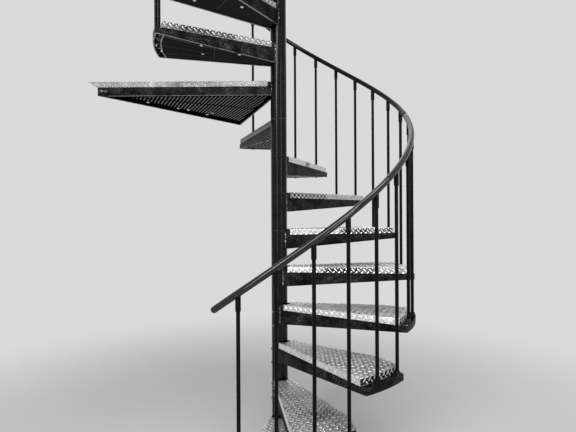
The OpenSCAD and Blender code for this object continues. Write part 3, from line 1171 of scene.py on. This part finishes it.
def boardJoints():
    # a thin bead closes the joint across each upper board
    for level in upperLevels:
        start, end = underAt(level, *jointValues["from"]), underAt(level, *jointValues["to"])
        way = end.translation - start.translation
        bead = ridge(way.length, jointValues)
        down = start.to_3x3() @ Vector((0, 0, 1))
        side = {"point": start.translation, "along": way.normalized(), "out": down}
        bead.data.transform(levelPlace(level) @ sidePlace(side, 0))
        bead.name = f"board_joint_{level:02d}"
        dress(bead, "soffit_board", ribSheenPaint)
    print("joints made")


boardJoints()


def boardScrews():
    for level in upperLevels + landingLevels:
        spots = screwValues["landing" if level in landingLevels else "upper"]
        if level == upperLevels[1]:
            spots = screwValues["second"]
        places = [levelPlace(level) @ underAt(level, x, y) for x, y in spots]
        turnedSet(f"board_screws_{level:02d}", screwValues, places, "soffit_board", screwMetal)
    rear = plateSides(stair["landing"])[-1]
    face = rear["point"] - rear["out"] * stair["plateThick"] - Vector((0, 0, screwValues["cornerDrop"]))
    out = facing(rear["out"])
    spots = [Matrix.Translation(face + rear["along"] * far) @ out for far in screwValues["cornerAlong"]]
    for level in landingLevels:
        places = [levelPlace(level) @ spot for spot in spots]
        turnedSet(f"corner_screws_{level:02d}", screwValues, places, "frame_paint", weldPaint)
    print("screws made")


boardScrews()

ribValues = {
    "pitch": 0.0205,
    "width": 0.0080,
    "height": 0.0022,
    "sink": 0.0004,
    "crown": (1, 0.5),
    "margin": 0.012,
    "landingTurn": 3.0,
    "landingMargin": 0.026,
    "landingBorder": 0.095,
    "bandAt": 0.330,
    "bandWidth": 0.018,
}


def ribField(level):
    # ribs across a board's underside, in the level's own place
    isLanding = level in landingLevels
    reach = stair["landingRearReach"] if isLanding else flight(level)["radius"]
    wide = 2 * reach if isLanding else checkerValues["treadWide"]
    rows = math.ceil(wide / ribValues["pitch"])
    field = repeated(ridge(reach, ribValues), rows, (0, ribValues["pitch"], 0))
    field.data.transform(Matrix.Translation((0, -(rows - 1) * ribValues["pitch"] / 2, 0)))
    if isLanding:
        # the board is seen from below, so its turn is the other way round
        field.data.transform(turnedBy(-ribValues["landingTurn"]))
    field.data.transform(underBoard(level))
    margin = ribValues["landingMargin" if isLanding else "margin"]
    inside = stair["plateThick"] + stair["barThick"] + margin
    for side in plateSides(level):
        trim(field, side["point"] - side["out"] * inside, side["out"])
    middle = along(stair["landingSweep"] / 2 if isLanding else grainAngle(level))
    trim(field, middle * (stair["sleeveRadius"] + ribValues["margin"]), -middle)
    return field


def bandedRibs(field):
    # a landing's ribs leave a smooth band across them and a broad border at the outer edge
    edge, out = landingEdge()
    trim(field, edge - out * ribValues["landingBorder"], out)
    outer = copied(field, Matrix.Identity(4))
    ahead = Vector((1, 0, 0))
    trim(field, ahead * (ribValues["bandAt"] - ribValues["bandWidth"] / 2), ahead)
    trim(outer, ahead * (ribValues["bandAt"] + ribValues["bandWidth"] / 2), -ahead)
    return joined([field, outer], "banded_ribs")


def soffitRibs():
    for levels in (lowerLevels[:-1], lowerLevels[-1:], landingLevels):
        level = levels[0]
        field = ribField(level)
        if level in landingLevels:
            field = bandedRibs(field)
        else:
            inside = stair["plateThick"] + stair["rimThick"] + ribValues["margin"]
            trimRound(field, level, plateRadius(level) - inside)
        setOut(field, levels, "soffit_ribs", "soffit_board", ribSheenPaint)
    print("ribs made")


soffitRibs()


def lapEnds():
    # a landing's turned-down edges run out in a slant under the plate's lap
    lip, thick = stair["lipHeight"], stair["plateThick"]
    edge, out = landingEdge()
    pieces = []
    for side in plateSides(stair["landing"]):
        length = (stair["landingLap"] - thick) / side["along"].dot(out)
        upward = side["out"].cross(side["along"])
        sheet = ridge(length, {"width": lip - thick, "height": 0, "sink": thick, "crown": (1, 1)})
        sheet.data.transform(Matrix.Translation((0, -(lip + thick) / 2 * upward.z, 0)))
        slant = Vector((lip - thick, -length * upward.z, 0)).normalized()
        trim(sheet, Vector((0, -lip * upward.z, 0)), slant)
        sheet.data.transform(sidePlace(side, side["end"]))
        pieces.append(sheet)
    setOut(joined(pieces, "lap_ends"), landingLevels, "lap_ends", "checker_plate", shadedHighLip)
    print("lap ends made")


lapEnds()


# Handrails, swept round where the CAD has flats

railValues = {
    "height": 0.770,
    "diameter": 0.028,
    "overrun": 8.5,
    "joint": 0.0,
    "around": 36,
    "degreesPerStep": 1.5,
    "easedEnd": 0.0007,
    "endSegments": 2,
    "sharpFrom": 60,
    "smoothUnder": 35,
}


def railRise(level):
    # climb per degree
    return stair["rise"] / flight(level)["step"]


def railTilt(level):
    return math.atan(railRise(level) * math.degrees(1) / balusterRadius(level))


def railHeightAt(level, degrees):
    ahead = degrees - treadAngle(level) - stair["firstBaluster"]
    return level * stair["rise"] + railValues["height"] + ahead * railRise(level)


def sweptRail(name, nodeName, level, start, end, paint):
    radius = balusterRadius(level)
    bpy.ops.mesh.primitive_circle_add(
        vertices=railValues["around"],
        radius=railValues["diameter"] / 2,
        fill_type="NOTHING",
        location=(radius, 0, 0),
        rotation=(railTilt(level) + math.pi / 2, 0, 0),
    )
    rail = bpy.context.object
    rail.name = name
    bpy.ops.object.transform_apply(location=True, rotation=True, scale=True)
    climb = rail.modifiers.new("climb", "SCREW")
    climb.axis = "Z"
    climb.angle = math.radians(end - start)
    climb.screw_offset = railRise(level) * (end - start)
    climb.steps = round((end - start) / railValues["degreesPerStep"])
    climb.render_steps = climb.steps
    climb.use_merge_vertices = False
    bpy.ops.object.modifier_apply(modifier=climb.name)
    editAll(rail)
    bpy.ops.mesh.fill_holes(sides=railValues["around"])
    turnFacesOut()
    leaveEdit()
    turn = turnedBy(start)
    rail.data.transform(Matrix.Translation((0, 0, railHeightAt(level, start))) @ turn)
    ease = rail.modifiers.new("ease", "BEVEL")
    ease.width = railValues["easedEnd"]
    ease.segments = railValues["endSegments"]
    ease.limit_method = "ANGLE"
    ease.angle_limit = math.radians(railValues["sharpFrom"])
    bpy.ops.object.modifier_apply(modifier=ease.name)
    shadeSmooth(rail, railValues["smoothUnder"])
    dress(rail, "rail_paint", paint)
    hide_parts(nodeName)


def railEnds(levels):
    # a flight's rail runs on a little past its first and last baluster
    start = treadAngle(levels[0]) + stair["firstBaluster"] - railValues["overrun"]
    end = treadAngle(levels[-1]) + stair["firstBaluster"] + stair["balusterGap"] + railValues["overrun"]
    return start, end


def handrails():
    joint = railValues["joint"]
    start, end = railEnds(lowerLevels)
    sweptRail("handrail_front", "lower_rail_front", lowerLevels[0], start, joint, railPaint)
    sweptRail("handrail_back", "lower_rail_back", lowerLevels[0], joint, end, farRailPaint)
    start, end = railEnds(upperLevels)
    sweptRail("handrail_upper", "upper_rail", upperLevels[0], start, end, farRailPaint)
    print("handrails swept")


handrails()

for nodeName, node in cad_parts.items():
    if node.hide_render:
        continue
    finish = framePaint
    if nodeName == "upper_tread_boards":
        finish = upperSoffitPaint
    elif "boards" in nodeName:
        finish = soffitPaint
    elif "rail" in nodeName:
        finish = railPaint
    elif "baluster" in nodeName or "ferrule" in nodeName:
        finish = rodPaint
    elif nodeName in ("centre_column", "column_cap"):
        finish = columnPaint
    node.data.materials.clear()
    node.data.materials.append(finish)
